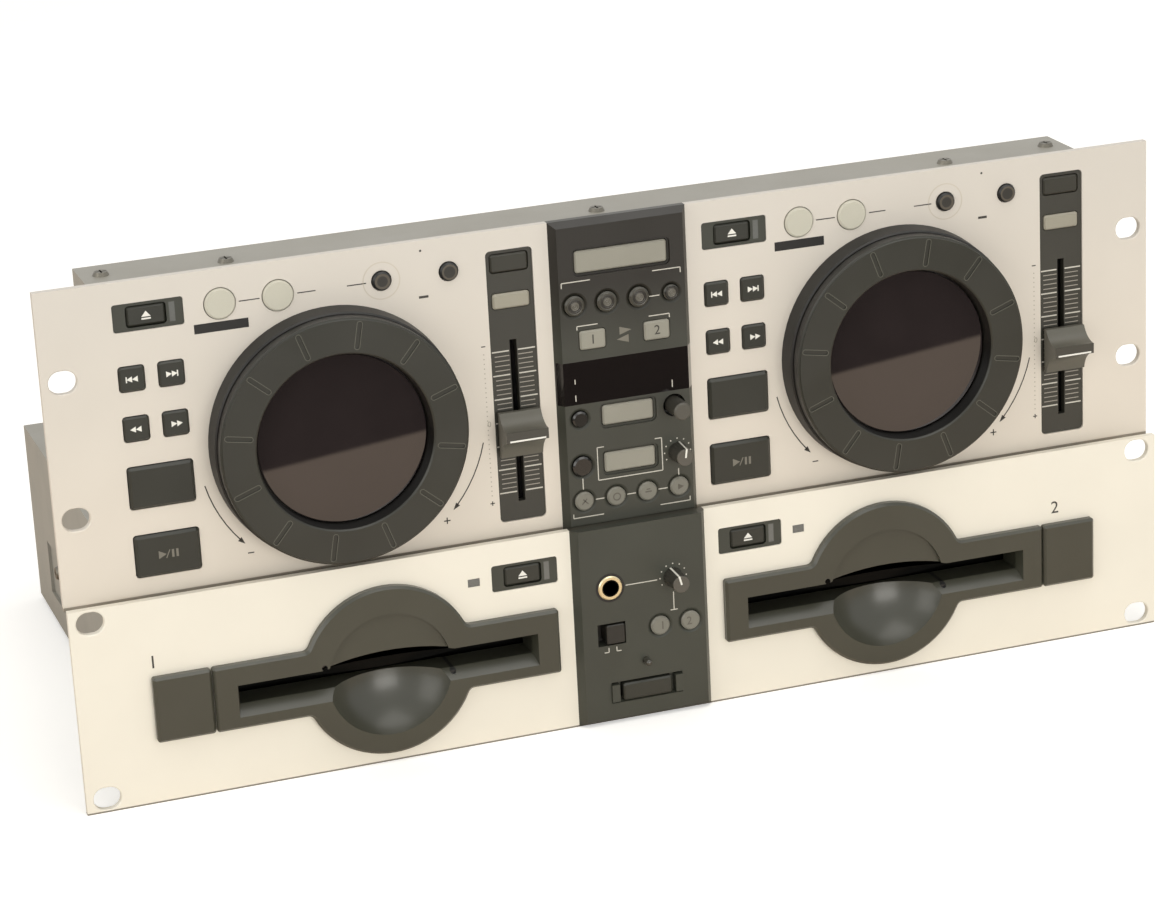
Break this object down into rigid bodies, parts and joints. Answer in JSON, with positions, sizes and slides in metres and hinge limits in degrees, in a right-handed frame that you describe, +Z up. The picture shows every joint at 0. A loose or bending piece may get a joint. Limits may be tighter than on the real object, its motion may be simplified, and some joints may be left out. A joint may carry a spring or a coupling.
{
  "type": "dual disc player",
  "caption": "Rack-mount dual disc player: a two-deck slot-loading unit with an upright control desk of jog wheels, tempo faders and keys.",
  "frame": {"origin": "middle of the whole footprint, on the surface the player stands on", "axes": "+X to the machine's right as seen from the front, +Y from the front panels to the rear, +Z up"},
  "size_m": [0.4826, 0.2805, 0.2184],
  "materials": {
    "panel_paint": "satin pale champagne",
    "case_paint": "fine-textured warm grey",
    "dark_moulding": "satin olive grey",
    "black_moulding": "matt black",
    "dark_key": "satin charcoal",
    "pale_key": "satin pale grey",
    "cream_key": "satin cream",
    "smoked_window": "polished, smoked",
    "pale_lens": "frosted",
    "board": "coated laminate",
    "gilt": "gilt",
    "steel": "plated",
    "plated_sheet": "zinc plated"
  },
  "bodies": {
    "machine": {"control_panel": "panel_paint", "control_back_cover": "case_paint", "control_end_caps": "case_paint", "control_console": "dark_moulding", "smoked_windows": "smoked_window", "jog_bases": "dark_moulding", "fader_beds": "dark_moulding", "eject_pockets": "dark_moulding", "indicator_lenses": "pale_lens", "circuit_boards": "board", "player_panel": "panel_paint", "player_chassis": "case_paint", "player_top_cover": "case_paint", "slot_bezels": "dark_moulding", "player_console": "dark_moulding", "phones_jack": "gilt", "disc_drives": "plated_sheet", "rear_sockets": "black_moulding", "case_screws": "steel"},
    "jog_wheel_1": {"jog_wheel_1": "dark_moulding"},
    "jog_wheel_2": {"jog_wheel_2": "dark_moulding"},
    "tempo_fader_1": {"tempo_fader_1": "dark_moulding"},
    "tempo_fader_2": {"tempo_fader_2": "dark_moulding"},
    "mix_time_knob": {"mix_time_knob": "dark_moulding"},
    "monitor_knob": {"monitor_knob": "dark_moulding"},
    "encoder_plunger": {"encoder_plunger": "steel"},
    "encoder_knob": {"encoder_knob": "dark_moulding"},
    "output_switch": {"output_switch": "dark_moulding"},
    "power_key": {"power_key": "dark_key"},
    "play_key_1": {"play_key_1": "dark_key"},
    "cue_key_1": {"cue_key_1": "dark_key"},
    "eject_key_1": {"eject_key_1": "dark_key"},
    "player_eject_key_1": {"player_eject_key_1": "dark_key"},
    "track_back_key_1": {"track_back_key_1": "dark_key"},
    "track_forward_key_1": {"track_forward_key_1": "dark_key"},
    "search_back_key_1": {"search_back_key_1": "dark_key"},
    "search_forward_key_1": {"search_forward_key_1": "dark_key"},
    "loop_keys_1": {"loop_keys_1": "cream_key"},
    "time_mode_key_1": {"time_mode_key_1": "dark_key"},
    "tempo_keys_1": {"tempo_keys_1": "pale_key"},
    "play_key_2": {"play_key_2": "dark_key"},
    "cue_key_2": {"cue_key_2": "dark_key"},
    "eject_key_2": {"eject_key_2": "dark_key"},
    "player_eject_key_2": {"player_eject_key_2": "dark_key"},
    "track_back_key_2": {"track_back_key_2": "dark_key"},
    "track_forward_key_2": {"track_forward_key_2": "dark_key"},
    "search_back_key_2": {"search_back_key_2": "dark_key"},
    "search_forward_key_2": {"search_forward_key_2": "dark_key"},
    "loop_keys_2": {"loop_keys_2": "cream_key"},
    "time_mode_key_2": {"time_mode_key_2": "dark_key"},
    "tempo_keys_2": {"tempo_keys_2": "pale_key"},
    "auto_mix_key": {"auto_mix_key": "pale_key"},
    "play_mode_keys": {"play_mode_keys": "dark_key"},
    "deck_select_keys": {"deck_select_keys": "pale_key"},
    "next_key": {"next_key": "dark_key"},
    "tempo_sync_key": {"tempo_sync_key": "pale_key"},
    "instant_change_key": {"instant_change_key": "dark_key"},
    "short_time_key": {"short_time_key": "pale_key"},
    "mix_mode_keys": {"mix_mode_keys": "pale_key"},
    "monitor_select_keys": {"monitor_select_keys": "pale_key"}
  },
  "joints": [
    {"name": "jog_wheel_1_turn", "type": "hinge", "parent": "machine", "child": "jog_wheel_1", "pos_m": [-0.12375, -0.12875, 0.1436], "axis": [0, 1, 0], "continuous": true},
    {"name": "jog_wheel_2_turn", "type": "hinge", "parent": "machine", "child": "jog_wheel_2", "pos_m": [0.12375, -0.12875, 0.1436], "axis": [0, 1, 0], "continuous": true},
    {"name": "tempo_fader_1_slide", "type": "slide", "parent": "machine", "child": "tempo_fader_1", "axis": [0, 0, 1], "range_m": [-0.0256, 0.034]},
    {"name": "tempo_fader_2_slide", "type": "slide", "parent": "machine", "child": "tempo_fader_2", "axis": [0, 0, 1], "range_m": [-0.0256, 0.034]},
    {"name": "mix_time_knob_turn", "type": "hinge", "parent": "machine", "child": "mix_time_knob", "pos_m": [0.0211, -0.12575, 0.1137], "axis": [0, 1, 0], "range_deg": [-140, 140]},
    {"name": "monitor_knob_turn", "type": "hinge", "parent": "machine", "child": "monitor_knob", "pos_m": [0.0136, -0.13385, 0.0617], "axis": [0, 1, 0], "range_deg": [-140, 140]},
    {"name": "encoder_plunger_push", "type": "slide", "parent": "machine", "child": "encoder_plunger", "axis": [0, 1, 0], "range_m": [0, 0.0006], "stiffness_N_per_m": 400, "springref_m": -0.0015},
    {"name": "encoder_knob_turn", "type": "hinge", "parent": "encoder_plunger", "child": "encoder_knob", "pos_m": [0.0204, -0.12575, 0.1343], "axis": [0, 1, 0], "continuous": true},
    {"name": "output_switch_slide", "type": "slide", "parent": "machine", "child": "output_switch", "axis": [1, 0, 0], "range_m": [-0.0032, 0]},
    {"name": "power_key_push", "type": "slide", "parent": "machine", "child": "power_key", "axis": [0, 1, 0], "range_m": [0, 0.0008], "stiffness_N_per_m": 400, "springref_m": -0.0015},
    {"name": "play_key_1_push", "type": "slide", "parent": "machine", "child": "play_key_1", "axis": [0, 1, 0], "range_m": [0, 0.0008], "stiffness_N_per_m": 400, "springref_m": -0.0015},
    {"name": "cue_key_1_push", "type": "slide", "parent": "machine", "child": "cue_key_1", "axis": [0, 1, 0], "range_m": [0, 0.0008], "stiffness_N_per_m": 400, "springref_m": -0.0015},
    {"name": "eject_key_1_push", "type": "slide", "parent": "machine", "child": "eject_key_1", "axis": [0, 1, 0], "range_m": [0, 0.0008], "stiffness_N_per_m": 400, "springref_m": -0.0015},
    {"name": "player_eject_key_1_push", "type": "slide", "parent": "machine", "child": "player_eject_key_1", "axis": [0, 1, 0], "range_m": [0, 0.0008], "stiffness_N_per_m": 400, "springref_m": -0.0015},
    {"name": "track_back_key_1_push", "type": "slide", "parent": "machine", "child": "track_back_key_1", "axis": [0, 1, 0], "range_m": [0, 0.0008], "stiffness_N_per_m": 400, "springref_m": -0.0015},
    {"name": "track_forward_key_1_push", "type": "slide", "parent": "machine", "child": "track_forward_key_1", "axis": [0, 1, 0], "range_m": [0, 0.0008], "stiffness_N_per_m": 400, "springref_m": -0.0015},
    {"name": "search_back_key_1_push", "type": "slide", "parent": "machine", "child": "search_back_key_1", "axis": [0, 1, 0], "range_m": [0, 0.0008], "stiffness_N_per_m": 400, "springref_m": -0.0015},
    {"name": "search_forward_key_1_push", "type": "slide", "parent": "machine", "child": "search_forward_key_1", "axis": [0, 1, 0], "range_m": [0, 0.0008], "stiffness_N_per_m": 400, "springref_m": -0.0015},
    {"name": "loop_keys_1_push", "type": "slide", "parent": "machine", "child": "loop_keys_1", "axis": [0, 1, 0], "range_m": [0, 0.0008], "stiffness_N_per_m": 400, "springref_m": -0.0015},
    {"name": "time_mode_key_1_push", "type": "slide", "parent": "machine", "child": "time_mode_key_1", "axis": [0, 1, 0], "range_m": [0, 0.0008], "stiffness_N_per_m": 400, "springref_m": -0.0015},
    {"name": "tempo_keys_1_push", "type": "slide", "parent": "machine", "child": "tempo_keys_1", "axis": [0, 1, 0], "range_m": [0, 0.0008], "stiffness_N_per_m": 400, "springref_m": -0.0015},
    {"name": "play_key_2_push", "type": "slide", "parent": "machine", "child": "play_key_2", "axis": [0, 1, 0], "range_m": [0, 0.0008], "stiffness_N_per_m": 400, "springref_m": -0.0015},
    {"name": "cue_key_2_push", "type": "slide", "parent": "machine", "child": "cue_key_2", "axis": [0, 1, 0], "range_m": [0, 0.0008], "stiffness_N_per_m": 400, "springref_m": -0.0015},
    {"name": "eject_key_2_push", "type": "slide", "parent": "machine", "child": "eject_key_2", "axis": [0, 1, 0], "range_m": [0, 0.0008], "stiffness_N_per_m": 400, "springref_m": -0.0015},
    {"name": "player_eject_key_2_push", "type": "slide", "parent": "machine", "child": "player_eject_key_2", "axis": [0, 1, 0], "range_m": [0, 0.0008], "stiffness_N_per_m": 400, "springref_m": -0.0015},
    {"name": "track_back_key_2_push", "type": "slide", "parent": "machine", "child": "track_back_key_2", "axis": [0, 1, 0], "range_m": [0, 0.0008], "stiffness_N_per_m": 400, "springref_m": -0.0015},
    {"name": "track_forward_key_2_push", "type": "slide", "parent": "machine", "child": "track_forward_key_2", "axis": [0, 1, 0], "range_m": [0, 0.0008], "stiffness_N_per_m": 400, "springref_m": -0.0015},
    {"name": "search_back_key_2_push", "type": "slide", "parent": "machine", "child": "search_back_key_2", "axis": [0, 1, 0], "range_m": [0, 0.0008], "stiffness_N_per_m": 400, "springref_m": -0.0015},
    {"name": "search_forward_key_2_push", "type": "slide", "parent": "machine", "child": "search_forward_key_2", "axis": [0, 1, 0], "range_m": [0, 0.0008], "stiffness_N_per_m": 400, "springref_m": -0.0015},
    {"name": "loop_keys_2_push", "type": "slide", "parent": "machine", "child": "loop_keys_2", "axis": [0, 1, 0], "range_m": [0, 0.0008], "stiffness_N_per_m": 400, "springref_m": -0.0015},
    {"name": "time_mode_key_2_push", "type": "slide", "parent": "machine", "child": "time_mode_key_2", "axis": [0, 1, 0], "range_m": [0, 0.0008], "stiffness_N_per_m": 400, "springref_m": -0.0015},
    {"name": "tempo_keys_2_push", "type": "slide", "parent": "machine", "child": "tempo_keys_2", "axis": [0, 1, 0], "range_m": [0, 0.0008], "stiffness_N_per_m": 400, "springref_m": -0.0015},
    {"name": "auto_mix_key_push", "type": "slide", "parent": "machine", "child": "auto_mix_key", "axis": [0, 1, 0], "range_m": [0, 0.0008], "stiffness_N_per_m": 400, "springref_m": -0.0015},
    {"name": "play_mode_keys_push", "type": "slide", "parent": "machine", "child": "play_mode_keys", "axis": [0, 1, 0], "range_m": [0, 0.0008], "stiffness_N_per_m": 400, "springref_m": -0.0015},
    {"name": "deck_select_keys_push", "type": "slide", "parent": "machine", "child": "deck_select_keys", "axis": [0, 1, 0], "range_m": [0, 0.0008], "stiffness_N_per_m": 400, "springref_m": -0.0015},
    {"name": "next_key_push", "type": "slide", "parent": "machine", "child": "next_key", "axis": [0, 1, 0], "range_m": [0, 0.0008], "stiffness_N_per_m": 400, "springref_m": -0.0015},
    {"name": "tempo_sync_key_push", "type": "slide", "parent": "machine", "child": "tempo_sync_key", "axis": [0, 1, 0], "range_m": [0, 0.0008], "stiffness_N_per_m": 400, "springref_m": -0.0015},
    {"name": "instant_change_key_push", "type": "slide", "parent": "machine", "child": "instant_change_key", "axis": [0, 1, 0], "range_m": [0, 0.0008], "stiffness_N_per_m": 400, "springref_m": -0.0015},
    {"name": "short_time_key_push", "type": "slide", "parent": "machine", "child": "short_time_key", "axis": [0, 1, 0], "range_m": [0, 0.0008], "stiffness_N_per_m": 400, "springref_m": -0.0015},
    {"name": "mix_mode_keys_push", "type": "slide", "parent": "machine", "child": "mix_mode_keys", "axis": [0, 1, 0], "range_m": [0, 0.0008], "stiffness_N_per_m": 400, "springref_m": -0.0015},
    {"name": "monitor_select_keys_push", "type": "slide", "parent": "machine", "child": "monitor_select_keys", "axis": [0, 1, 0], "range_m": [0, 0.0008], "stiffness_N_per_m": 400, "springref_m": -0.0015}
  ]
}
